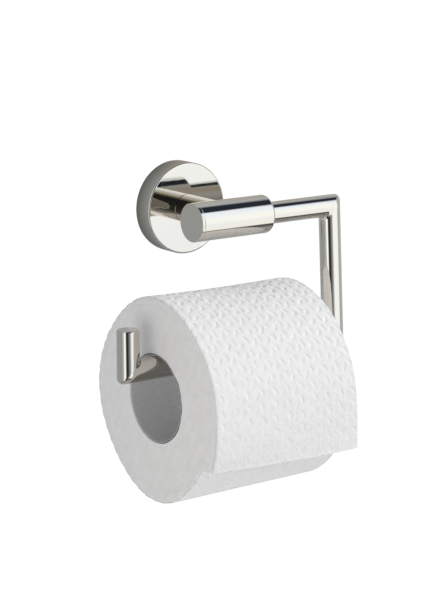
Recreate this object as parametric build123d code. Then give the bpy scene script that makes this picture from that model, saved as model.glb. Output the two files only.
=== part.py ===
from build123d import *

import os
from math import asin, cos, degrees, pi, radians, sin, sqrt

# Wall-mounted toilet paper holder of polished steel with a roll on it, in millimetres.
# The origin is the middle of the wall rose on the wall plane: +X to the right, +Y into the wall
# and +Z up, so the whole holder stands at negative Y.

# Wall rose
rose_d = 53.0
rose_depth = 13.0
rose_wall = 2.0
rose_front = 2.5
rose_edge_radius = 1.0

# Wall plate inside the rose, bevelled so that a screw from below draws the rose to the wall
plate_side_gap = 0.3
plate_front_gap = 1.5
plate_rim = 2.0
plate_bevel = 4.0
wall_hole_d = 5.2
wall_hole_spacing = 30.0
countersink_d = 10.0
pocket_d = 17.0
grub_d = 4.0
grub_tip_d = 1.2
grub_socket = 2.0
grub_socket_depth = 1.6
grub_recess = 0.3

# Post between rose and barrel, with its screw and washer
post_d = 16.5
post_chamfer = 0.4
post_screw_d = 6.0
post_screw_grip = 10.0
post_head_d = 10.5
post_head_height = 3.3
post_head_room = 0.8
post_socket = 4.0
post_socket_depth = 2.0
post_washer_d = 12.5
post_washer_thickness = 1.2

# Barrel that the arm turns in
axis_out = 53.5
barrel_d = 22.0
barrel_length = 51.0
barrel_end_radius = 1.6
cap_thickness = 2.0
cap_spigot = 3.0
cap_edge_radius = 0.4
seam_chamfer = 0.2

# Bushes and the pieces that keep the arm in them
bush_wall = 1.6
outer_bush_length = 12.0
outer_bush_recess = 0.3
inner_bush_length = 10.0
plug_length = 12.0
retaining_screw_d = 5.0
retaining_grip = 9.0
retaining_head_d = 8.5
retaining_head_height = 3.3
retaining_head_room = 1.0
retaining_socket = 3.0
retaining_socket_depth = 1.8
retaining_washer_thickness = 1.2
ring_thickness = 1.2
ring_groove_depth = 0.5
ring_width = 1.6
ring_opening = 6.0

# Arm of mitred tube, its corners ground round
rod_d = 12.7
rod_wall = 1.5
mitre_radius = 2.5
arm_reach = 72.5
arm_drop = 78.0
stop_height = 24.0
stop_cap_thickness = 1.5
stop_cap_spigot = 3.0
stop_cap_radius = 0.7

# Paper roll
roll_d = 114.6
roll_width = 96.0
core_inner_d = 49.0
core_wall = 1.0
sheet_thickness = 0.4
sheet_self_gap = 0.45
tail_length = 31.0
roll_stop_gap = 11.4
roll_arm_gap = 23.9

# Clearances
thread_gap = 0.05
blind_hole_room = 1.5
press_gap = 0.02
running_gap = 0.06
axial_play = 0.1
soft_gap = 0.3
wall_gap = 0.6

# Radii and places that follow from the sizes above
rose_r = rose_d / 2
post_r = post_d / 2
barrel_r = barrel_d / 2
rod_r = rod_d / 2
rod_bore_r = rod_r - rod_wall
rose_inside = rose_depth - rose_front
plate_r = rose_r - rose_wall - plate_side_gap
plate_thickness = rose_inside - plate_front_gap
bevel_length = plate_thickness - plate_rim
grub_from_wall = bevel_length / 2
grub_tip_r = plate_r - plate_bevel * (bevel_length - grub_from_wall - grub_tip_d / 2) / bevel_length

bore_r = rod_r + running_gap + bush_wall
barrel_right = barrel_length / 2
barrel_left = -barrel_length / 2 + cap_thickness
washer_left = barrel_left + cap_spigot + retaining_head_room + retaining_head_height
arm_end = washer_left + retaining_washer_thickness
inner_bush_left = arm_end + axial_play
inner_bush_right = inner_bush_left + inner_bush_length
ring_left = inner_bush_right + axial_play

roll_right = arm_reach - rod_r - roll_arm_gap
roll_left = roll_right - roll_width
stop_x = roll_left - roll_stop_gap - rod_r

# A full roll wider than the barrel's distance from the wall holds the arm out at a slant
lean = asin(max(0.0, roll_d / 2 + wall_gap - axis_out) / arm_drop)
bar_y = -axis_out - arm_drop * sin(lean)
bar_z = -arm_drop * cos(lean)
roll_z = bar_z + rod_r + soft_gap - core_inner_d / 2
core_r = core_inner_d / 2 + core_wall
sheet_pitch = sheet_thickness + sheet_self_gap
winding_r = roll_d / 2 - sheet_pitch / 2 - sheet_thickness - soft_gap


def along_x(x0, x1, radius):
    """A cylinder on the X axis from x0 to x1."""
    return extrude(Plane(origin=(x0, 0, 0), z_dir=(1, 0, 0)) * Circle(radius), x1 - x0)


def along_y(y0, y1, radius, z=0.0):
    """A cylinder along Y from y0 to y1, at height z."""
    return extrude(Plane(origin=(0, y0, z), z_dir=(0, 1, 0)) * Circle(radius), y1 - y0)


def hexagon(plane, across_flats, depth):
    """A hexagonal socket cut from the plane against its normal."""
    return extrude(plane * RegularPolygon(across_flats / 2, 6, major_radius=False), -depth)


def turned(outline):
    """A body turned about the rose's axis from an outline of (radius, y) corners."""
    return revolve(make_face(Polyline(*outline, close=True)), Axis.Y)


def widest_edge(part, axis, place):
    """The largest round edge that lies at one place along an axis."""
    at_place = part.edges().filter_by_position(axis, place - thread_gap, place + thread_gap)
    return at_place.filter_by(GeomType.CIRCLE).sort_by(SortBy.RADIUS)[-1]


def on_barrel(part):
    """A piece drawn about the X axis, moved to the barrel's axis."""
    return Pos(0, -axis_out, 0) * part


def on_arm(part):
    """A piece drawn with the arm straight down from the X axis, moved to the leaning arm."""
    return Pos(0, -axis_out, 0) * Rot(-degrees(lean), 0, 0) * part


def on_roll(part):
    """A piece drawn about the X axis, moved to the roll's axis."""
    return Pos(0, bar_y, roll_z) * part


# Wall rose and what holds it
def wall_plate():
    """Disc with a bevelled edge, two countersunk holes and a front pocket for the post's screw."""
    pocket_y = -(rose_inside - post_washer_thickness - post_head_height - post_head_room)
    plate = turned(
        [
            (0, 0),
            (plate_r - plate_bevel, 0),
            (plate_r, -bevel_length),
            (plate_r, -plate_thickness),
            (0, -plate_thickness),
        ]
    )
    plate -= along_y(-plate_thickness, pocket_y, pocket_d / 2)
    sink_depth = (countersink_d - wall_hole_d) / 2
    sink = Pos(0, 0, sink_depth / 2) * Cone(countersink_d / 2, wall_hole_d / 2, sink_depth)
    for z in (-wall_hole_spacing / 2, wall_hole_spacing / 2):
        plate -= along_y(-plate_thickness, 0, wall_hole_d / 2, z=z)
        plate -= Plane(origin=(0, -plate_thickness, z), z_dir=(0, 1, 0)).location * sink
    return plate


def rose_cup():
    """Cup with a flat front, a hole for the post's screw and a threaded hole below."""
    hole_r = post_screw_d / 2 + thread_gap
    cup = turned(
        [
            (hole_r, -rose_depth),
            (rose_r, -rose_depth),
            (rose_r, 0),
            (rose_r - rose_wall, 0),
            (rose_r - rose_wall, -rose_inside),
            (hole_r, -rose_inside),
        ]
    )
    cup = fillet(widest_edge(cup, Axis.Y, -rose_depth), rose_edge_radius)
    below = Plane(origin=(0, -grub_from_wall, 0), z_dir=(0, 0, -1))
    return cup - extrude(below * Circle(grub_d / 2 + thread_gap), rose_r + rose_wall)


def rose_grub_screw():
    """Headless screw in the rim's underside, its pointed tip on the plate's bevelled edge."""
    foot_r = rose_r - grub_recess
    foot = Plane(origin=(0, -grub_from_wall, -foot_r), z_dir=(0, 0, -1))
    screw = extrude(foot * Circle(grub_d / 2), grub_tip_r - foot_r)
    screw = chamfer(widest_edge(screw, Axis.Z, -grub_tip_r), (grub_d - grub_tip_d) / 2)
    return screw - hexagon(foot, grub_socket, grub_socket_depth)


def post():
    """Round bar, bevelled and square on the rose, coped to the barrel and tapped from behind."""
    bar = along_y(-axis_out, -rose_depth, post_r)
    bar = chamfer(widest_edge(bar, Axis.Y, -rose_depth), post_chamfer)
    bar -= on_barrel(along_x(-barrel_length, barrel_length, barrel_r))
    tapped = post_screw_grip + blind_hole_room
    return bar - along_y(-rose_depth - tapped, -rose_depth, post_screw_d / 2 + thread_gap)


def post_washer():
    """Flat washer on the rose's inner face."""
    outside = along_y(-rose_inside, -rose_inside + post_washer_thickness, post_washer_d / 2)
    hole = along_y(-rose_inside, -rose_inside + post_washer_thickness, post_screw_d / 2 + thread_gap)
    return outside - hole


def post_screw():
    """Low-headed socket screw through the rose into the post."""
    seat = -rose_inside + post_washer_thickness
    screw = along_y(seat, seat + post_head_height, post_head_d / 2)
    screw = fillet(widest_edge(screw, Axis.Y, seat + post_head_height), post_head_height / 2)
    screw += along_y(-rose_depth - post_screw_grip, seat, post_screw_d / 2)
    top = Plane(origin=(0, seat + post_head_height, 0), z_dir=(0, 1, 0))
    return screw - hexagon(top, post_socket, post_socket_depth)


# Barrel and its bushes
def barrel_tube():
    """Sleeve with a rounded right end and a fine bevel where the cap meets it."""
    sleeve = along_x(barrel_left, barrel_right, barrel_r)
    sleeve = fillet(widest_edge(sleeve, Axis.X, barrel_right), barrel_end_radius)
    sleeve = chamfer(widest_edge(sleeve, Axis.X, barrel_left), seam_chamfer)
    return on_barrel(sleeve - along_x(barrel_left, barrel_right, bore_r))


def barrel_end_cap():
    """Flat cap with a spigot in the barrel's bore."""
    cap = along_x(barrel_left - cap_thickness, barrel_left, barrel_r)
    cap = fillet(widest_edge(cap, Axis.X, barrel_left - cap_thickness), cap_edge_radius)
    cap = chamfer(widest_edge(cap, Axis.X, barrel_left), seam_chamfer)
    return on_barrel(cap + along_x(barrel_left, barrel_left + cap_spigot, bore_r - press_gap))


def bush(x0, x1):
    """A plain bush pressed into the barrel, with running room for the arm."""
    return on_barrel(along_x(x0, x1, bore_r - press_gap) - along_x(x0, x1, rod_r + running_gap))


def arm_bush_outer():
    """Bush at the barrel's mouth."""
    mouth = barrel_right - outer_bush_recess
    return bush(mouth - outer_bush_length, mouth)


def arm_bush_inner():
    """Bush that the retaining washer and ring close on."""
    return bush(inner_bush_left, inner_bush_right)


# Arm
def ground_corner(corner, along, turn, first):
    """First or second half of a mitred corner that is ground round: the tube's slanting section
    moved along a small arc without turning, up to the mitre or on from it."""
    centre = corner + (turn - along) * mitre_radius

    def on_arc(angle):
        return centre + (along * sin(radians(angle)) - turn * cos(radians(angle))) * mitre_radius

    begin, end = (0, 45) if first else (45, 90)
    path = ThreePointArc(on_arc(begin), on_arc((begin + end) / 2), on_arc(end))
    mitre = along + turn
    slant = Plane(origin=on_arc(begin), x_dir=along - turn, z_dir=mitre)
    section = Ellipse(rod_r * sqrt(2), rod_r) - Ellipse(rod_bore_r * sqrt(2), rod_bore_r)
    return sweep(slant * section, path=path, normal=mitre.normalized())


def arm_tube(start, end, before=None, after=None):
    """Tube from start to end, cut square, or mitred to the piece before or after it."""
    along = (end - start).normalized()
    run_in = rod_d if before else 0.0
    run_out = rod_d if after else 0.0
    section = Circle(rod_r) - Circle(rod_bore_r)
    length = (end - start).length + run_in + run_out
    tube = extrude(Plane(origin=start - along * run_in, z_dir=along) * section, length)
    if before:
        cut = Plane(origin=start + along * mitre_radius, z_dir=before + along)
        tube = split(tube, bisect_by=cut, keep=Keep.TOP)
        tube += ground_corner(start, before, along, first=False)
    if after:
        cut = Plane(origin=end - along * mitre_radius, z_dir=along + after)
        tube = split(tube, bisect_by=cut, keep=Keep.BOTTOM)
        tube += ground_corner(end, along, after, first=True)
    return tube


RIGHT, DOWN, LEFT = Vector(1, 0, 0), Vector(0, 0, -1), Vector(-1, 0, 0)
UPRIGHT = Vector(0, -sin(lean), cos(lean))
INNER_END = Vector(arm_end, 0, 0)
TOP_CORNER = Vector(arm_reach, 0, 0)
LOW_CORNER = Vector(arm_reach, 0, -arm_drop)
STOP_CORNER = Vector(stop_x, 0, -arm_drop)
STOP_TOP = STOP_CORNER + UPRIGHT * (stop_height - stop_cap_thickness)


def upper_arm():
    """Tube that turns in the bushes, grooved for the retaining ring."""
    tube = arm_tube(INNER_END, TOP_CORNER, after=DOWN)
    groove = along_x(ring_left, ring_left + ring_thickness, rod_d)
    groove -= along_x(ring_left, ring_left + ring_thickness, rod_r - ring_groove_depth)
    return on_arm(tube - groove)


def drop_arm():
    """Tube down from the top corner."""
    return on_arm(arm_tube(TOP_CORNER, LOW_CORNER, before=RIGHT, after=LEFT))


def roll_bar():
    """Tube that carries the roll."""
    return on_arm(arm_tube(LOW_CORNER, STOP_CORNER, before=DOWN, after=UPRIGHT))


def end_stop():
    """Short upturned tube at the free end, upright while the arm leans."""
    return on_arm(arm_tube(STOP_CORNER, STOP_TOP, before=LEFT))


def stop_end_cap():
    """Cap that closes the end stop, with a rounded edge and a spigot."""
    cap = extrude(Circle(rod_r), stop_cap_thickness)
    cap = fillet(widest_edge(cap, Axis.Z, stop_cap_thickness), stop_cap_radius)
    cap += extrude(Circle(rod_bore_r - press_gap), -stop_cap_spigot)
    return on_arm(Plane(origin=STOP_TOP, z_dir=UPRIGHT).location * cap)


def arm_plug():
    """Plug in the arm's inner end, tapped for the retaining screw."""
    plug = along_x(arm_end, arm_end + plug_length, rod_bore_r - press_gap)
    tapped = retaining_grip + blind_hole_room
    return on_arm(plug - along_x(arm_end, arm_end + tapped, retaining_screw_d / 2 + thread_gap))


def retaining_washer():
    """Washer clamped on the arm's end, wide enough to bear on the inner bush."""
    washer = along_x(washer_left, arm_end, bore_r - soft_gap)
    return on_arm(washer - along_x(washer_left, arm_end, retaining_screw_d / 2 + thread_gap))


def retaining_screw():
    """Socket screw through the washer into the plug."""
    head = along_x(washer_left - retaining_head_height, washer_left, retaining_head_d / 2)
    shank = along_x(washer_left, arm_end + retaining_grip, retaining_screw_d / 2)
    top = Plane(origin=(washer_left - retaining_head_height, 0, 0), z_dir=(-1, 0, 0))
    return on_arm(head + shank - hexagon(top, retaining_socket, retaining_socket_depth))


def retaining_ring():
    """Open spring ring in the arm's groove."""
    inner_r = rod_r - ring_groove_depth + press_gap
    ring = along_x(ring_left, ring_left + ring_thickness, inner_r + ring_width)
    ring -= along_x(ring_left, ring_left + ring_thickness, inner_r)
    opening = Box(rod_d, ring_opening, rod_d, align=(Align.CENTER, Align.CENTER, Align.MAX))
    return on_arm(ring - opening)


# Roll
def roll_tube(inner_r, outer_r):
    """A tube of the roll's width about the roll's axis."""
    return on_roll(along_x(roll_left, roll_right, outer_r) - along_x(roll_left, roll_right, inner_r))


def roll_core():
    """Cardboard tube."""
    return roll_tube(core_inner_d / 2, core_r)


def paper_winding():
    """The wound paper under the loose outer turn."""
    return roll_tube(core_r, winding_r)


def sheet_side(offset):
    """One side of the loose sheet in the (y, z) plane of the roll: its hanging end, the half turn
    over the top and the half turn below, which slips under the hanging end."""
    low_r = winding_r + soft_gap + offset
    top_r = low_r + sheet_pitch / 2
    front = low_r + sheet_pitch
    tail = Line((-front, -tail_length), (-front, 0))
    over = ThreePointArc((-front, 0), (-sheet_pitch / 2, top_r), (low_r, 0))
    under = ThreePointArc((low_r, 0), (0, -low_r), (-low_r, 0))
    return Wire([tail, over, under])


def loose_sheet():
    """Outer turn of paper with its free end hanging in front."""
    inner, outer = sheet_side(0.0), sheet_side(sheet_thickness)
    hem = Line(inner @ 0, outer @ 0)
    tuck = Line(inner @ 1, outer @ 1)
    section = make_face(inner.edges() + outer.edges() + [hem, tuck])
    across = Plane(origin=(roll_left, 0, 0), x_dir=(0, 1, 0), z_dir=(1, 0, 0))
    return on_roll(extrude(across * section, roll_width))


def least_sheet_gap(samples=720):
    """The least gap between stretches of the loose sheet that lie over each other."""
    middle = sheet_side(sheet_thickness / 2)
    points = [middle @ (i / samples) for i in range(samples + 1)]
    apart = pi * winding_r
    step = middle.length / samples
    gaps = [
        (points[i] - points[j]).length - sheet_thickness
        for i in range(samples + 1)
        for j in range(i + int(apart / step), samples + 1)
    ]
    return min(gaps)


PIECES = [
    wall_plate,
    rose_cup,
    rose_grub_screw,
    post,
    post_washer,
    post_screw,
    barrel_tube,
    barrel_end_cap,
    arm_bush_outer,
    arm_bush_inner,
    upper_arm,
    drop_arm,
    roll_bar,
    end_stop,
    stop_end_cap,
    arm_plug,
    retaining_washer,
    retaining_screw,
    retaining_ring,
    roll_core,
    paper_winding,
    loose_sheet,
]

os.makedirs("parts", exist_ok=True)
for piece in PIECES:
    export_step(piece(), f"parts/{piece.__name__}.step")
print(f"arm leans {degrees(lean):.2f} degrees, bar axis at y {bar_y:.2f} z {bar_z:.2f}")
print(f"roll axis at y {bar_y:.2f} z {roll_z:.2f}, x from {roll_left:.2f} to {roll_right:.2f}")
print(f"least gap between turns of the loose sheet {least_sheet_gap():.2f}")
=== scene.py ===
import bpy
import math
import numpy as np
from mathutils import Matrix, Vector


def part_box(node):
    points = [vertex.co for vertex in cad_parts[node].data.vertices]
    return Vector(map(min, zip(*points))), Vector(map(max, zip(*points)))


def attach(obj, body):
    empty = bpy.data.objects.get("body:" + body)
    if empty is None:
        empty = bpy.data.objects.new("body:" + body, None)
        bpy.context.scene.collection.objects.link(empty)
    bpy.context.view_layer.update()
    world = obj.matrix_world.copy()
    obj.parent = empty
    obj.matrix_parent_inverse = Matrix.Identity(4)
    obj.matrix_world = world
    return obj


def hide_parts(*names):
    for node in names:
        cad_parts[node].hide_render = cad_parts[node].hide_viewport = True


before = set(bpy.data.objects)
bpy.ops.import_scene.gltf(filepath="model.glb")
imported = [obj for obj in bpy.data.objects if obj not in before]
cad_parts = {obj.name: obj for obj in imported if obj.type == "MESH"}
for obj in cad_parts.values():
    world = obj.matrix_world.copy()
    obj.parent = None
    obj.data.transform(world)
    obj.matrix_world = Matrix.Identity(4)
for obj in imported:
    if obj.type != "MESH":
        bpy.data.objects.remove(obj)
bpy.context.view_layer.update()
scene = bpy.context.scene
MM = 0.001


# Sizes in millimetres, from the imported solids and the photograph
def span(node):
    """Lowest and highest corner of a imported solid."""
    low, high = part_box(node)
    return np.array(low) / MM, np.array(high) / MM


winding_low, winding_high = span("paper_winding")
core_low, core_high = span("roll_core")
roll_left, roll_right = winding_low[0], winding_high[0]
roll_y, roll_z = (winding_low[1:] + winding_high[1:]) / 2
core_r = (core_high[2] - core_low[2]) / 2
board_inner_r, board_outer_r = core_r - 0.95, core_r - 0.55  # room for the loose first turn of paper
loose_turns = 3.4  # depth of the turns that stay behind when the roll spins
wound_r = (winding_high[2] - winding_low[2]) / 2 - loose_turns
sheet_thickness = 0.55  # one sheet with the loft of its pressing
sheet_step = sheet_thickness + 0.05  # rise of the sheet over its own start
sheet_width = 95.75
tail_drop = 30.6


# Meshes
def put_mesh(name, points, faces, material):
    """An object from an array of points in millimetres and the corner indices of its faces."""
    mesh = bpy.data.meshes.new(name)
    mesh.from_pydata((points * MM).tolist(), [], faces)
    mesh.update()
    mesh.polygons.foreach_set("use_smooth", np.ones(len(mesh.polygons), bool))
    mesh.materials.append(material)
    made = bpy.data.objects.new(name, mesh)
    scene.collection.objects.link(made)
    return made


def put_piece(name, points, faces, body, material, slot, *nodes):
    """A piece of the roll that rides on a body and stands for the nodes named."""
    piece = put_mesh(name, points, faces, material)
    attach(piece, body)
    if nodes:
        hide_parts(*nodes)
    return piece


def grid_faces(rows, columns, wrap_rows=False, wrap_columns=False):
    """Corner indices of the quads of a grid, joined round where it wraps."""
    i = np.arange(rows if wrap_rows else rows - 1)[:, None]
    j = np.arange(columns if wrap_columns else columns - 1)[None, :]
    below, beside = (i + 1) % rows, (j + 1) % columns
    corners = [i * columns + j, i * columns + beside, below * columns + beside, below * columns + j]
    return np.stack(np.broadcast_arrays(*corners), -1).reshape(-1, 4)


def full_turn(columns):
    """Angles of a closed ring, as one row."""
    return np.linspace(0, 2 * np.pi, columns, endpoint=False)[None, :]


# Colours and materials
COLOUR = {"data_type": "RGBA"}
COLOUR_TIMES = {"data_type": "RGBA", "blend_type": "MULTIPLY"}


def linear(code):
    """Linear colour of an sRGB hex code."""
    value = np.array([int(code[k:k + 2], 16) for k in (1, 3, 5)]) / 255
    value = np.where(value <= 0.04045, value / 12.92, ((value + 0.055) / 1.055) ** 2.4)
    return (*value.tolist(), 1.0)


def repeats(size):
    """Scale of a pattern, in repeats a metre, from its real size in millimetres."""
    return 1000 / size


def add(tree, kind, settings=None, stops=(), **inputs):
    """A node with its settings, a ramp's stops of (place, colour), and its inputs set to values or linked to
    other nodes' outputs. Inputs called i0, i1 and so on are found by number, others by name."""
    made = tree.nodes.new(kind)
    for key, value in (settings or {}).items():
        setattr(made, key, value)
    for key, value in inputs.items():
        place = int(key[1:]) if key[0] == "i" and key[1:].isdigit() else key.replace("_", " ")
        if isinstance(value, bpy.types.NodeSocket):
            tree.links.new(value, made.inputs[place])
        else:
            made.inputs[place].default_value = value
    if stops:
        band = made.color_ramp.elements
        for place, colour in stops:
            band.new(place).color = (*colour, 1)
        band.remove(band[0])
        band.remove(band[-1])
    return made


def new_material(name):
    """An empty node material, and the tree to fill."""
    material = bpy.data.materials.new(name)
    material.use_nodes = True
    material.node_tree.nodes.clear()
    return material, material.node_tree


def finish_material(material, shader):
    """Joins a shader to the material's output."""
    add(material.node_tree, "ShaderNodeOutputMaterial", Surface=shader.outputs[0])
    return material


def polished_stainless():
    """Stainless steel tube and sheet, ground and buffed to a mirror."""
    # Sharp, slightly warm reflections, which a haze in patches of 11 mm and the fine lines of the buffing
    # wheel soften a little, and which waver by the wheel's very shallow waves, 6 mm long. The lines are drawn
    # 0.4 mm apart, because the real ones are too fine to show.
    material, tree = new_material("buffed_stainless_steel")
    place = add(tree, "ShaderNodeTexCoord").outputs["Object"]
    haze = add(tree, "ShaderNodeTexNoise", Vector=place, Scale=repeats(11), Detail=4.0)
    lines = add(tree, "ShaderNodeTexNoise", Vector=place, Scale=repeats(0.4), Detail=2.0, Roughness=0.7)
    hazed = add(tree, "ShaderNodeMapRange", Value=haze.outputs[0], i1=0.3, i2=0.7, i3=0.025, i4=0.055)
    rough = add(
        tree, "ShaderNodeMapRange", Value=lines.outputs[0], i1=0.55, i2=0.75, i3=hazed.outputs[0], i4=0.085
    )
    waves = add(tree, "ShaderNodeTexNoise", Vector=place, Scale=repeats(6), Detail=1.0)
    bump = add(tree, "ShaderNodeBump", Strength=0.02, Distance=0.4 * MM, Height=waves.outputs[0])
    shader = add(
        tree, "ShaderNodeBsdfPrincipled", Base_Color=linear("#D3CDC4"), Metallic=1.0,
        Roughness=rough.outputs[0], Normal=bump.outputs[0],
    )
    return finish_material(material, shader)


def plain_steel():
    """Turned and pressed steel of the inner pieces, zinc plated."""
    # A dull silver grey with a mottled spangle of 2.5 mm and tool marks that break up the shine, drawn
    # 0.8 mm apart.
    material, tree = new_material("zinc_plated_steel")
    place = add(tree, "ShaderNodeTexCoord").outputs["Object"]
    spangle = add(tree, "ShaderNodeTexVoronoi", Vector=place, Scale=repeats(2.5))
    hue = add(
        tree, "ShaderNodeMix", COLOUR, i0=spangle.outputs["Color"], i6=linear("#A9A8A5"), i7=linear("#BDBCB8")
    )
    marks = add(tree, "ShaderNodeTexNoise", Vector=place, Scale=repeats(0.8), Detail=3.0)
    rough = add(tree, "ShaderNodeMapRange", Value=marks.outputs[0], i1=0.3, i2=0.7, i3=0.26, i4=0.42)
    bump = add(tree, "ShaderNodeBump", Strength=0.3, Distance=0.1 * MM, Height=marks.outputs[0])
    shader = add(
        tree, "ShaderNodeBsdfPrincipled", Base_Color=hue.outputs[2], Metallic=1.0,
        Roughness=rough.outputs[0], Normal=bump.outputs[0],
    )
    return finish_material(material, shader)


def acetal():
    """Black acetal of the bushes, turned from rod."""
    # A waxy near-black with a soft shine, clouded over 4 mm and ringed by the lathe: grooves round the swing
    # axis, 0.5 mm apart.
    waves_a_metre = 20 / math.tau  # of a wave texture at scale 1
    material, tree = new_material("turned_acetal")
    place = add(tree, "ShaderNodeTexCoord").outputs["Object"]
    cloud = add(tree, "ShaderNodeTexNoise", Vector=place, Scale=repeats(4), Detail=2.0)
    hue = add(
        tree, "ShaderNodeMix", COLOUR, i0=cloud.outputs[0], i6=linear("#1D1D1E"), i7=linear("#262627")
    )
    rough = add(tree, "ShaderNodeMapRange", Value=cloud.outputs[0], i1=0.3, i2=0.7, i3=0.36, i4=0.5)
    rings = add(
        tree, "ShaderNodeTexWave", {"bands_direction": "X"}, Vector=place,
        Scale=repeats(0.5) / waves_a_metre, Distortion=0.6, Detail=1.0,
    )
    bump = add(tree, "ShaderNodeBump", Strength=0.25, Distance=0.1 * MM, Height=rings.outputs[1])
    shader = add(
        tree, "ShaderNodeBsdfPrincipled", Base_Color=hue.outputs[2], Roughness=rough.outputs[0],
        Normal=bump.outputs[0],
    )
    return finish_material(material, shader)


def tissue(name, colour, shade, crepe_width, crepe_depth):
    """Bleached tissue, creped off a drying drum."""
    # A soft matt white with no shine, clouded over 5 mm where the pulp lies thicker, wrinkled by the crepe,
    # which is drawn 1.5 or 2.2 mm wide because the real one is too fine to show, and rough with short fibres,
    # drawn 0.45 mm wide.
    material, tree = new_material(name)
    place = add(tree, "ShaderNodeTexCoord").outputs["Object"]
    cloud = add(tree, "ShaderNodeTexNoise", Vector=place, Scale=repeats(5), Detail=3.0, Roughness=0.6)
    tint = add(tree, "ShaderNodeMapRange", Value=cloud.outputs[0], i1=0.35, i2=0.65)
    hue = add(tree, "ShaderNodeMix", COLOUR, i0=tint.outputs[0], i6=linear(shade), i7=linear(colour))
    crepe = add(
        tree, "ShaderNodeTexNoise", Vector=place, Scale=repeats(crepe_width), Detail=3.0, Roughness=0.6
    )
    rough = add(tree, "ShaderNodeMapRange", Value=crepe.outputs[0], i1=0.3, i2=0.7, i3=0.9, i4=1.0)
    wrinkles = add(
        tree, "ShaderNodeBump", Strength=0.55, Distance=crepe_depth * MM, Height=crepe.outputs[0]
    )
    fibres = add(tree, "ShaderNodeTexNoise", Vector=place, Scale=repeats(0.45), Detail=4.0)
    bump = add(
        tree, "ShaderNodeBump", Strength=0.3, Distance=0.2 * MM, Height=fibres.outputs[0],
        Normal=wrinkles.outputs[0],
    )
    shader = add(
        tree, "ShaderNodeBsdfPrincipled", Base_Color=hue.outputs[2], Roughness=rough.outputs[0],
        Normal=bump.outputs[0], Specular_IOR_Level=0.2,
    )
    return finish_material(material, shader)


def core_board():
    """Grey recycled board, wound in a spiral and glued."""
    # A dull pale grey, flecked with lighter and darker fibres of 1.1 mm, with a soft uneven surface. Painted
    # shade darkens the last 30 mm towards both ends, and the outside is painted dark brown as shade in the
    # narrow gap between the board and the paper.
    material, tree = new_material("wound_grey_board")
    place = add(tree, "ShaderNodeTexCoord").outputs["Object"]
    flecks = add(tree, "ShaderNodeTexNoise", Vector=place, Scale=repeats(1.1), Detail=5.0, Roughness=0.65)
    tint = add(tree, "ShaderNodeMapRange", Value=flecks.outputs[0], i1=0.35, i2=0.65)
    hue = add(
        tree, "ShaderNodeMix", COLOUR, i0=tint.outputs[0], i6=linear("#DCDCDD"), i7=linear("#EDEDEE")
    )
    middle = ((roll_left + roll_right) / 2 * MM, roll_y * MM, roll_z * MM)
    from_axis = add(tree, "ShaderNodeVectorMath", {"operation": "SUBTRACT"}, i0=place, i1=middle)
    lengthwise, upright = (
        add(tree, "ShaderNodeVectorMath", {"operation": "MULTIPLY"}, i0=from_axis.outputs[0], i1=kept)
        for kept in ((1, 0, 0), (0, 1, 1))
    )
    from_middle = add(tree, "ShaderNodeVectorMath", {"operation": "LENGTH"}, i0=lengthwise.outputs[0])
    # painted shade: the board grows darker towards both open ends
    end_shade_share = add(tree, "ShaderNodeMapRange", Value=from_middle.outputs["Value"], i1=18 * MM, i2=44 * MM)
    end_shaded = add(
        tree, "ShaderNodeMix", COLOUR_TIMES, i0=end_shade_share.outputs[0], i6=hue.outputs[2], i7=linear("#E1E1E1")
    )
    facing = add(tree, "ShaderNodeTexCoord").outputs["Normal"]
    outward = add(
        tree, "ShaderNodeVectorMath", {"operation": "DOT_PRODUCT"}, i0=upright.outputs[0], i1=facing
    )
    # painted shade: the board's outside turns dark brown, as shade in the gap under the paper
    gap_shade_share = add(
        tree, "ShaderNodeMapRange", Value=outward.outputs["Value"], i1=0.75 * core_r * MM,
        i2=0.9 * core_r * MM,
    )
    shaded_board = add(
        tree, "ShaderNodeMix", COLOUR, i0=gap_shade_share.outputs[0], i6=end_shaded.outputs[2], i7=linear("#4A423A")
    )
    rough = add(tree, "ShaderNodeMapRange", Value=flecks.outputs[0], i1=0.3, i2=0.7, i3=0.82, i4=0.95)
    bump = add(tree, "ShaderNodeBump", Strength=0.4, Distance=0.2 * MM, Height=flecks.outputs[0])
    shader = add(
        tree, "ShaderNodeBsdfPrincipled", Base_Color=shaded_board.outputs[2], Roughness=rough.outputs[0],
        Normal=bump.outputs[0],
    )
    return finish_material(material, shader)


steel = polished_stainless()
inner_steel = plain_steel()
bush_plastic = acetal()
sheet_tissue = tissue("creped_tissue_sheet", "#F2F2F2", "#EDEDED", 1.5, 1.0)
edge_tissue = tissue("cut_tissue_edges", "#F7F7F7", "#F3F3F2", 2.2, 0.4)
board = core_board()

for names, finish in (
    (("rose_cup", "post", "barrel_tube", "barrel_end_cap"), steel),
    (("upper_arm", "drop_arm", "roll_bar", "end_stop", "stop_end_cap"), steel),
    (("wall_plate", "rose_grub_screw", "post_washer", "post_screw"), inner_steel),
    (("arm_plug", "retaining_washer", "retaining_screw", "retaining_ring"), inner_steel),
    (("arm_bush_outer", "arm_bush_inner"), bush_plastic),
):
    for name in names:
        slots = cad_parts[name].data.materials
        slots.clear()
        slots.append(finish)


# Paper roll. Angles run from the front over the top, and places x along the axis from the open end
def about_roll(x, r, turn):
    """Points at a place x along the roll's axis, a radius r and an angle turn."""
    x, r, turn = np.broadcast_arrays(x, r, turn)
    return np.stack([x, roll_y - r * np.cos(turn), roll_z + r * np.sin(turn)], -1)


def across(x):
    """Share of the roll's width at a place x: 0 at the open end, 1 at the arm."""
    return (x - roll_left) / (roll_right - roll_left)


def from_ends(x):
    """Distance of a place x from the nearer end of the roll."""
    return np.minimum(x - roll_left, roll_right - x)


def smooth_step(value):
    """Smooth rise from 0 to 1."""
    value = np.clip(value, 0, 1)
    return value * value * (3 - 2 * value)


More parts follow.
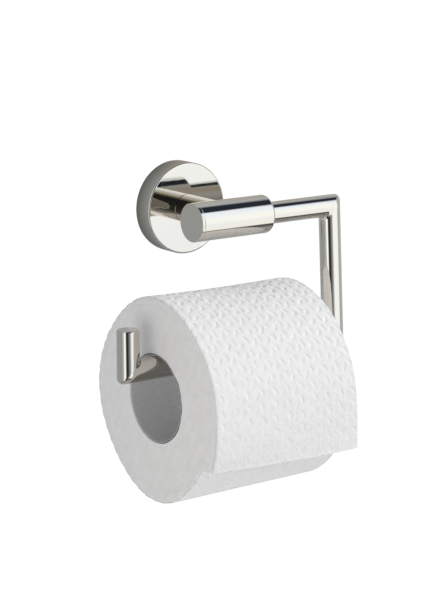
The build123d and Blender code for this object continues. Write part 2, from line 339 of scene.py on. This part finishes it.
def pressed_outline(turn, x):
    """Radius of the roll's outside: a circle that narrows towards the arm, plus four waves that leave it
    four-cornered and low at the bottom, as rolls come out of a tight pack, half as strong at the arm's end,
    less a shallow saddle in the middle of the top."""
    open_r, narrowing, saddle = 57.15, 0.65, 0.7
    share = across(x)
    waves = 0
    for size, order, crest in ((0.85, 1, -91), (0.9, 2, 64), (0.45, 3, 29), (1.05, 4, 3)):
        waves = waves + size * np.cos(order * (turn - np.radians(crest)))
    from_top = (turn - np.radians(105)) / np.radians(38)
    low = saddle * np.sin(np.pi * share) * np.exp(-from_top ** 2)
    return open_r - narrowing * share + (1 - 0.5 * share) * waves - low


def sheet_inside(turn, x):
    """Inner radius of the outer turn: the outline less the sheet, drawn in unevenly over the last 1 mm at
    both ends, and raised over the first half turn, where it lies on its own start."""
    uneven = 1 + 0.2 * np.sin(23 * turn + 1) + 0.15 * np.sin(41 * turn)
    drawn_in = (0.45 - 0.2 * across(x)) * uneven * np.clip(1.0 - from_ends(x), 0, 1) ** 2
    spiral = sheet_step * np.clip(1 - turn / np.pi, 0, 1)
    return pressed_outline(turn, x) - sheet_thickness - drawn_in + spiral


def lift_off(turn, x):
    """How far the sheet stands off the roll near the front, where it turns down: 0.35 mm over 25 degrees at
    the open end, growing to 2.9 mm over 50 degrees at the arm."""
    share = across(x)
    return (0.35 + 2.55 * share) * np.clip(1 - turn / np.radians(25 + 25 * share), 0, 1) ** 2


def tail_out(drop, x):
    """How far the tail's inner side hangs in front of the roll's axis at a drop below it: it swings out a
    little, its open corner curls back to the roll, and its torn end flicks out."""
    flick_length = 2.5
    share = across(x)
    swing = (0.57 + 0.73 * share) * (1 - np.exp(-drop / 9))
    curl = 4.65 * (1 - share) ** 1.5 * (drop / tail_drop) ** 3
    flick = 0.35 * np.clip((drop - tail_drop + flick_length) / flick_length, 0, 1) ** 2
    return sheet_inside(0.0, x) + lift_off(0.0, x) + swing - curl + flick


def open_end(x):
    """Share of the swelling: whole at the open end, gone by the middle."""
    return 1 - smooth_step((across(x) - 0.06) / 0.4)


def swell(turn, x):
    """How far the loose turns swell out behind the tail's curled corner, near the open end: up to the tail's
    inner side less a sheet, fading between 27 and 36 degrees below the front."""
    front_r, clear_of_tail = 58.5, 0.08
    below = np.clip(2 * np.pi - turn, 0, np.radians(60))
    drop = np.clip(front_r * np.tan(below), 0, tail_drop)
    room = tail_out(drop, x) / np.cos(below) - sheet_thickness - clear_of_tail - sheet_inside(turn, x)
    fade = 1 - smooth_step((below - np.radians(27)) / np.radians(9))
    return fade * np.clip(room, 0, None) * open_end(x)


def face_relief(r, turn):
    """Height of the roll's end face: long waves in several directions, fine rings of the turns, and a
    small crease below the core."""
    y, z = r * np.cos(turn), r * np.sin(turn)
    relief = 0
    for size, length, way, start in (
        (0.10, 19.0, 20, 0.3), (0.09, 14.0, 105, 1.9), (0.07, 9.5, 62, 4.0), (0.06, 7.3, 150, 2.6),
        (0.04, 4.9, 85, 5.1), (0.04, 4.1, 10, 0.9),
    ):
        way = np.radians(way)
        relief = relief + size * np.sin(2 * np.pi * (y * np.cos(way) + z * np.sin(way)) / length + start)
    for size, pitch, swing, order in ((0.02, 1.15, 1.2, 2), (0.025, 2.3, 0.9, 3)):
        relief = relief + size * np.sin(2 * np.pi * r / pitch + swing * np.sin(order * turn + order))
    crease_depth, crease_r, crease_turn = 0.5, 27.0, np.radians(-81)
    beside = r * ((turn - crease_turn + np.pi) % (2 * np.pi) - np.pi)
    return relief - crease_depth * np.exp(-((r - crease_r) / 0.45) ** 2 - (beside / 1.9) ** 2)


def wound_paper():
    """The tight inner turns: a closed profile of two faces, outside and bore, turned about the roll's axis,
    with the faces moved along the axis by their relief. The bore stands off the core by 0.3 mm at the back
    and 1.1 mm at the front, where the first turn has come loose."""
    columns, face_rows = 300, 104
    turn = full_turn(columns)
    loose = 0.85 * (0.5 + 0.5 * np.cos(turn)) ** 2 + 0.15 * (1 + np.sin(turn))
    bore = board_outer_r + 0.13 + loose
    face = bore + np.linspace(0, 1, face_rows)[:, None] * (wound_r - bore)
    left = about_roll(roll_left - face_relief(face, turn), face, turn)
    right = about_roll(roll_right + face_relief(face, turn), face, turn)
    middle = np.linspace(0.1, 0.9, 5)[:, None]
    outside = about_roll(roll_left + (roll_right - roll_left) * middle, wound_r, turn)
    inward = np.array([[[0.1, 0, 0]]])  # rows that keep the bore's edges sharp
    points = np.concatenate([left[:1] + inward, left, outside, right[::-1], right[:1] - inward])
    return points.reshape(-1, 3), grid_faces(len(points), columns, True, True)[:, ::-1]


def outer_turns():
    """The loose outer turns: a closed profile of two faces, outside and bore round the tight turns, whose
    outside lies close under the outer sheet. The faces curve in by 0.2 mm over their last 1.2 mm."""
    columns, face_rows = 480, 18
    curve_in, curve_width = 0.2, 1.2
    bore, under_sheet = wound_r + 0.04, 0.03
    turn = full_turn(columns)
    step = np.clip((turn - np.radians(353)) / np.radians(6), 0, 1) * sheet_step

    def rim(x):
        """Radius close under the sheet."""
        return sheet_inside(turn, x) + step + swell(turn, x) + lift_off(turn, x) * open_end(x) - under_sheet

    def side(x, sign):
        """One end face, from the bore out."""
        edge = rim(x)
        r = bore + np.linspace(0, 1, face_rows)[:, None] * (edge - bore)
        curve = curve_in * np.clip((r - edge + curve_width) / curve_width, 0, 1) ** 2
        flat = np.clip((edge - r) / curve_width, 0, 1)
        return about_roll(x + sign * (curve - face_relief(r, turn) * flat), r, turn)

    near_end = np.linspace(curve_in, 2.5, 8)
    x = np.concatenate([
        roll_left + near_end, np.linspace(roll_left + 5, roll_right - 5, 24), roll_right - near_end[::-1],
    ])[:, None]
    outside = about_roll(x, rim(x), turn)
    points = np.concatenate([side(roll_left, 1), outside, side(roll_right, -1)[::-1]])
    return points.reshape(-1, 3), grid_faces(len(points), columns, True, True)[:, ::-1]


def core_tube():
    """Closed profile of the board's four sides, turned about the roll's axis, with a shallow spiral groove
    in the bore where the board's strips of 46 mm meet. Rows close to the ends keep the outside, painted dark
    as shade in the gap, apart from the cut ends."""
    columns, strip, set_back = 240, 46.0, 0.35
    left, right = roll_left + set_back, roll_right - set_back
    turn = full_turn(columns)
    x = np.linspace(left, right, 150)[:, None]
    from_seam = (x + turn * strip / (2 * np.pi) + strip / 2) % strip - strip / 2
    groove = 0.16 * np.exp(-(from_seam / 0.55) ** 2)
    bore = about_roll(x, board_inner_r + groove, turn)
    skin_x = np.array([right, right - 0.08, right - 2, left + 2, left + 0.08, left])[:, None]
    points = np.concatenate([bore, about_roll(skin_x, board_outer_r, turn)])
    return points.reshape(-1, 3), grid_faces(len(points), columns, True, True)


def pressed_leaves(along, over):
    """Depth of the pressed pattern: bowed leaves that lean left and right by turns, repeated every 7.6 mm
    along and 8.95 mm across the sheet. Each falls in gently over 2 mm, ends in a steep wall 0.75 mm wide and
    fades towards its ends. Slow waves shift the leaves by up to 0.4 mm and make some deeper."""
    repeat_along, repeat_over = 7.6, 8.95
    fall_in, wall, bow, half_length = 2.0, 0.75, 0.13, 2.1
    along, over = (
        along + 0.4 * np.sin(2 * np.pi * (along / 17.3 + over / 23.9) + 1),
        over + 0.4 * np.sin(2 * np.pi * (along / 21.7 - over / 14.9) + 4),
    )
    uneven = (
        1 + 0.22 * np.sin(2 * np.pi * (along / 12.7 + over / 19.1))
        + 0.18 * np.sin(2 * np.pi * (along / 9.1 - over / 13.3) + 2)
    )
    depth = 0
    for start_along, start_over, lean, share in ((0.0, 0.0, 52, 1.0), (3.7, 4.35, -57, 1.25)):
        a = (along - start_along + repeat_along / 2) % repeat_along - repeat_along / 2
        b = (over - start_over + repeat_over / 2) % repeat_over - repeat_over / 2
        turn = np.radians(lean)
        down_leaf = b * np.cos(turn) + a * np.sin(turn)
        to_wall = np.sign(lean) * (b * np.sin(turn) - a * np.cos(turn)) + bow * down_leaf ** 2
        hollow = smooth_step((to_wall + fall_in) / fall_in) * (1 - smooth_step(to_wall / wall))
        depth = depth + share * hollow * np.exp(-((down_leaf - 0.3) / half_length) ** 4)
    return uneven * depth


def hanging_sheet():
    """The outer turn and its hanging end: a line in the roll's plane, tail first, carried across the width.
    On the roll the line keeps the turn's inner radius, and near the front it lifts off it. The tail falls
    from there, its open corner curls back to the roll, and its end is torn a little uneven. The outer face
    is pressed in by the leaf pattern along the line's normal, deepest over the top and shallow on the tail,
    and the inner face is smooth."""
    fine_turn, start_turn = 2.0, np.radians(352)  # rows lie closer where the photograph shows them
    pattern_r, deepest, floor_of_hollow = 57.6, 0.78, 0.03
    x = np.concatenate([
        [0, 0.05], np.linspace(0.25, sheet_width - 0.25, 170), [sheet_width - 0.05, sheet_width],
    ])[None, :] + roll_left + 0.1
    share = across(x)
    fall = np.concatenate([[1, 0.998], np.linspace(0.99, 0, 57, endpoint=False)])[:, None]
    turn = np.concatenate([
        np.linspace(0, fine_turn, 204)[:-1], np.linspace(fine_turn, start_turn, 299),
    ])[:, None]

    torn = 0.18 * np.sin(2 * np.pi * x / 4.6) + 0.12 * np.sin(2 * np.pi * x / 2.9 + 1)
    drop = fall * (tail_drop + 0.5 * share - 0.9 * share ** 6 + torn)
    radius = sheet_inside(turn, x) + lift_off(turn, x) + swell(turn, x)
    y = np.concatenate([-tail_out(drop, x), -radius * np.cos(turn)])
    z = np.concatenate([-drop, radius * np.sin(turn)])
    normal_y = np.concatenate([-1 + 0 * fall, -np.cos(turn)])
    normal_z = np.concatenate([0 * fall, np.sin(turn)])

    along = np.concatenate([-drop, pattern_r * turn + 0 * x])
    pressed = 0.16 + 0.38 * smooth_step((along + 30) / 42) + 0.96 * smooth_step((along - 6) / 60)
    depth = deepest * pressed * (0.5 + 0.5 * smooth_step(from_ends(x) / 2))
    hollow = depth * pressed_leaves(along, x)
    most = sheet_thickness - floor_of_hollow
    lift = sheet_thickness - hollow / (1 + (hollow / most) ** 4) ** 0.25

    def placed(x, y, z):
        """Points at a place x along the axis and at y and z from it."""
        return np.stack(np.broadcast_arrays(x, roll_y + y, roll_z + z), -1)

    outer = placed(x, y + normal_y * lift, z + normal_z * lift)
    ends = [-1, 0]
    inner = placed(x[:, ends], y[:, ends], z[:, ends])
    ring = np.concatenate([outer, inner], 1)
    rows, around = ring.shape[:2]
    first = np.arange(around)
    closing = [first[::-1].tolist(), (first + (rows - 1) * around).tolist()]
    faces = grid_faces(rows, around, False, True).tolist() + closing
    length = np.hypot(np.diff(y, axis=0), np.diff(z, axis=0)).sum(0).mean()
    return ring.reshape(-1, 3), faces, (float(np.ptp(x)), float(length))


put_piece("wound_paper", *wound_paper(), "roll", edge_tissue, "tissue", "paper_winding")
put_piece("outer_turns", *outer_turns(), "sheet", edge_tissue, "tissue")
put_piece("core_tube", *core_tube(), "roll", board, "core_board", "roll_core")
points, faces, flat = hanging_sheet()
sheet_piece = put_piece("hanging_sheet", points, faces, "sheet", sheet_tissue, "tissue", "loose_sheet")

# Camera at the photograph's angle
look_turn, look_down = math.radians(36.049), math.radians(12.137)
look = np.array([
    math.sin(look_turn) * math.cos(look_down), math.cos(look_turn) * math.cos(look_down), -math.sin(look_down)
])
aim = np.array([-3.767, -53.5, -46.6]) * MM
distance = 1.317146
focal_pixels, photo_height, sensor = 2326.294, 600, 36
camera_data = bpy.data.cameras.new("camera")
camera_data.lens = focal_pixels / photo_height * sensor
camera_data.sensor_width = sensor
camera = bpy.data.objects.new("camera", camera_data)
camera.location = (aim - look * distance).tolist()
camera.rotation_euler = (math.pi / 2 - look_down, 0, -look_turn)
scene.collection.objects.link(camera)
scene.camera = camera
scene.view_settings.view_transform = "Standard"


# Floor
def floor_disc():
    """A flat disc 850 mm below the rose: a rim of 4 m radius joined to a centre point."""
    sides, radius, depth = 96, 4000, -850.0
    turns = full_turn(sides)[0]
    rim = np.stack([radius * np.cos(turns), radius * np.sin(turns), np.full(sides, depth)], -1)
    first = np.arange(sides)
    faces = np.stack([first, (first + 1) % sides, np.full(sides, sides)], -1)
    return np.concatenate([rim, [[0, 0, depth]]]), faces


def floor_paint():
    """Pale matt paint, lit evenly from above and clear from below."""
    material, tree = new_material("pale_floor")
    paint = add(
        tree, "ShaderNodeBsdfPrincipled", Base_Color=linear("#F4F4F4"), Roughness=0.9,
        Emission_Color=linear("#FFFFFF"), Emission_Strength=0.6,
    )
    underside = add(tree, "ShaderNodeNewGeometry").outputs["Backfacing"]
    clear = add(tree, "ShaderNodeBsdfTransparent")
    one_sided = add(tree, "ShaderNodeMixShader", i0=underside, i1=paint.outputs[0], i2=clear.outputs[0])
    return finish_material(material, one_sided)


floor = put_mesh("floor", *floor_disc(), floor_paint())
floor.visible_glossy = False
floor.visible_diffuse = False


# Wall board, which only reflections and the fill light meet
def wall_ring():
    """A flat ring just behind the wall's plane, from the rose's rim out to 260 mm."""
    columns, behind = 128, 0.8
    turns = full_turn(columns)
    r = np.array([27.0, 32.0, 40.0, 80.0, 260.0])[:, None]
    points = np.stack(np.broadcast_arrays(r * np.cos(turns), behind, r * np.sin(turns)), -1)
    return points.reshape(-1, 3), grid_faces(len(r), columns, False, True)


def wall_glow():
    """Glowing grey board, painted light that the steel mirrors: darker close to the rose as painted shade,
    beige to pale grey up to the right, with one warm patch of painted reflection."""
    material, tree = new_material("glowing_grey_wall")
    place = add(tree, "ShaderNodeTexCoord").outputs["Object"]
    from_rose = add(tree, "ShaderNodeVectorMath", {"operation": "LENGTH"}, i0=place).outputs["Value"]
    # painted shade: the glow dims close to the rose
    rose_shade_share = add(tree, "ShaderNodeMapRange", Value=from_rose, i1=26.5 * MM, i2=38 * MM)
    shade = add(
        tree, "ShaderNodeMix", COLOUR, i0=rose_shade_share.outputs[0], i6=linear("#6C6E6F"), i7=linear("#AFB4B8")
    )
    far = add(tree, "ShaderNodeMapRange", Value=from_rose, i1=48 * MM, i2=66 * MM)
    beige = add(
        tree, "ShaderNodeMix", COLOUR, i0=far.outputs[0], i6=linear("#B6AC98"), i7=linear("#C8CED3")
    )
    upward = add(tree, "ShaderNodeVectorMath", {"operation": "DOT_PRODUCT"}, i0=place, i1=(0.7, 0.0, 0.7))
    lighter = add(tree, "ShaderNodeMapRange", Value=upward.outputs["Value"], i1=8 * MM, i2=40 * MM)
    tone = add(
        tree, "ShaderNodeMix", COLOUR, i0=lighter.outputs[0], i6=shade.outputs[2], i7=beige.outputs[2]
    )
    patch = (90 * MM, 0.8 * MM, 45 * MM)
    from_patch = add(tree, "ShaderNodeVectorMath", {"operation": "DISTANCE"}, i0=place, i1=patch)
    warm = add(tree, "ShaderNodeMapRange", Value=from_patch.outputs["Value"], i1=55 * MM, i2=20 * MM)
    patched = add(
        tree, "ShaderNodeMix", COLOUR, i0=warm.outputs[0], i6=tone.outputs[2], i7=linear("#C2BDB4")
    )
    glow = add(tree, "ShaderNodeEmission", Color=patched.outputs[2], Strength=1.0)
    return finish_material(material, glow)


wall_board = put_mesh("wall_board", *wall_ring(), wall_glow())
wall_board.visible_camera = False
wall_board.visible_shadow = False
wall_board.visible_transmission = False


# Studio light. Colours here are amounts of light, so some are above 1
def panel_stops(panels):
    """Ramp stops of panels round the upright axis, given as (degrees from the front, grey or colour)."""
    return [((angle + 180) / 360, np.broadcast_to(light, 3).tolist()) for angle, light in panels]


def studio():
    """Soft studio. For the fill: more light from below than from above, less from the left and right. For
    reflections: pale panels either side of a dark gap, wider above the horizon, a grey room behind, toned by
    height, then patches laid over it, and all cooled a little, so that the warm steel looks neutral."""
    world = bpy.data.worlds.new("studio")
    scene.world = world
    world.use_nodes = True
    tree = world.node_tree
    tree.nodes.clear()
    ray = add(tree, "ShaderNodeTexCoord").outputs["Generated"]
    rightward, backward, upward = add(tree, "ShaderNodeSeparateXYZ", Vector=ray).outputs

    frontward = add(tree, "ShaderNodeMath", {"operation": "MULTIPLY"}, i0=backward, i1=-1.0)
    turn = add(tree, "ShaderNodeMath", {"operation": "ARCTAN2"}, i0=rightward, i1=frontward.outputs[0])
    round_axis = add(tree, "ShaderNodeMapRange", Value=turn.outputs[0], i1=-math.pi, i2=math.pi)
    left_panels = (
        (-180, 0.50), (-140, 0.46), (-115, (0.48, 0.455, 0.40)), (-100, (0.47, 0.45, 0.39)),
        (-86, (0.68, 0.66, 0.61)), (-77, 0.85), (-72, 1.55), (-60, 1.55),
    )
    right_panels = ((50, 1.42), (62, 0.62), (72, 0.55), (100, 0.72))
    low_gap = ((-52, 0.05), (-34, 0.04), (-26, 0.24), (-14, 0.42), (-6, 0.8), (0, 1.40))
    high_gap = ((-52, 0.03), (0, 0.02), (5, 1.40))
    low_back, high_back = ((144, 0.62), (180, 0.50)), ((144, 0.66), (180, 0.50))
    low_band, high_band = (
        add(
            tree, "ShaderNodeValToRGB", stops=panel_stops(left_panels + gap + right_panels + back),
            Fac=round_axis.outputs[0],
        ).outputs[0]
        for gap, back in ((low_gap, low_back), (high_gap, high_back))
    )
    horizon = add(
        tree, "ShaderNodeMapRange", Value=upward, i1=math.sin(math.radians(-4)), i2=math.sin(math.radians(8))
    )
    bands = add(tree, "ShaderNodeMix", COLOUR, i0=horizon.outputs[0], i6=low_band, i7=high_band)

    height = add(tree, "ShaderNodeMapRange", Value=upward, i1=-0.6, i2=0.6)
    tone = add(tree, "ShaderNodeValToRGB", stops=(
        (0.01, (1.0, 0.96, 0.87)), (0.34, (0.985, 0.985, 0.97)), (0.45, (1.075, 1.06, 0.99)),
        (0.65, (1.09, 1.07, 1.0)), (0.8, (1.06, 1.06, 1.03)), (0.99, (0.95, 0.985, 1.05)),
    ), Fac=height.outputs[0])
    toned = add(tree, "ShaderNodeMix", COLOUR_TIMES, i0=1.0, i6=bands.outputs[2], i7=tone.outputs[0])

    # Patches: the way they lie, where along it they start and are full, their edge and their light
    room = toned.outputs[2]
    overhead = np.array([0.25, -0.16, 0.95])
    overhead = (overhead / np.linalg.norm(overhead)).tolist()
    cone = {angle: math.cos(math.radians(angle)) for angle in (6, 25, 29)}
    skirting, ground, ceiling = (0.10, 0.095, 0.085), (0.46, 0.45, 0.43), (0.03, 0.035, 0.05)
    beige_front, dim_back = (0.60, 0.49, 0.34), (0.33, 0.33, 0.33)
    for way, start, full, edge, light in (
        ((0, 0, 1), -0.60, -0.66, "LINEAR", skirting),
        ((0, 0, 1), -0.71, -0.80, "LINEAR", ground),
        ((0.134, -0.629, 0.766), cone[25], cone[6], "LINEAR", beige_front),
        ((0.0, 0.45, 0.893), 0.4, 0.82, "LINEAR", dim_back),
        (overhead, cone[29], cone[25], "SMOOTHSTEP", ceiling),
    ):
        along = add(tree, "ShaderNodeVectorMath", {"operation": "DOT_PRODUCT"}, i0=ray, i1=way)
        share = add(
            tree, "ShaderNodeMapRange", {"interpolation_type": edge}, Value=along.outputs["Value"], i1=start,
            i2=full,
        )
        laid = add(tree, "ShaderNodeMix", COLOUR, i0=share.outputs[0], i6=room, i7=(*light, 1))
        room = laid.outputs[2]
    cooling = (0.931, 1.0, 1.085)
    cooled = add(tree, "ShaderNodeVectorMath", {"operation": "MULTIPLY"}, i0=room, i1=cooling)

    from_below, from_above = (1.165, 1.165, 1.16, 1), (0.515, 0.515, 0.525, 1)
    above = add(tree, "ShaderNodeMapRange", Value=upward, i1=-1.0, i2=1.0)
    fill = add(tree, "ShaderNodeMix", COLOUR, i0=above.outputs[0], i6=from_below, i7=from_above)
    sideways = add(tree, "ShaderNodeMapRange", Value=rightward, i1=-1.0, i2=1.0)
    sides = add(tree, "ShaderNodeValToRGB", stops=(
        (0.01, (0.355, 0.33, 0.305)), (0.5, (1.0, 1.0, 1.0)), (0.99, (0.74, 0.76, 0.79)),
    ), Fac=sideways.outputs[0])
    sided = add(tree, "ShaderNodeMix", COLOUR_TIMES, i0=1.0, i6=fill.outputs[2], i7=sides.outputs[0])

    path = add(tree, "ShaderNodeLightPath")
    backdrop = (1.02, 1.02, 1.02, 1)
    lit = add(
        tree, "ShaderNodeMix", COLOUR, i0=path.outputs["Is Glossy Ray"], i6=sided.outputs[2],
        i7=cooled.outputs[0],
    )
    seen = add(
        tree, "ShaderNodeMix", COLOUR, i0=path.outputs["Is Camera Ray"], i6=lit.outputs[2], i7=backdrop
    )
    shader = add(tree, "ShaderNodeBackground", Color=seen.outputs[2], Strength=1.0)
    add(tree, "ShaderNodeOutputWorld", Surface=shader.outputs[0])


def soft_light(name, place, size, power):
    """A square soft box at a place in metres, turned to the roll."""
    target = np.array([0, -0.06, -0.07])
    data = bpy.data.lights.new(name, "AREA")
    data.size = size
    data.energy = power
    lamp = bpy.data.objects.new(name, data)
    away = np.array(place) - target
    lamp.location = place
    lamp.rotation_euler = (
        math.acos(away[2] / np.linalg.norm(away)), 0, math.atan2(away[1], away[0]) + math.pi / 2
    )
    scene.collection.objects.link(lamp)
    lamp.visible_glossy = False


studio()
soft_light("key_light", (1.2, -0.93, 1.1), 0.33, 18.3)
soft_light("left_light", (-0.46, -0.26, -0.105), 0.27, 0.49)
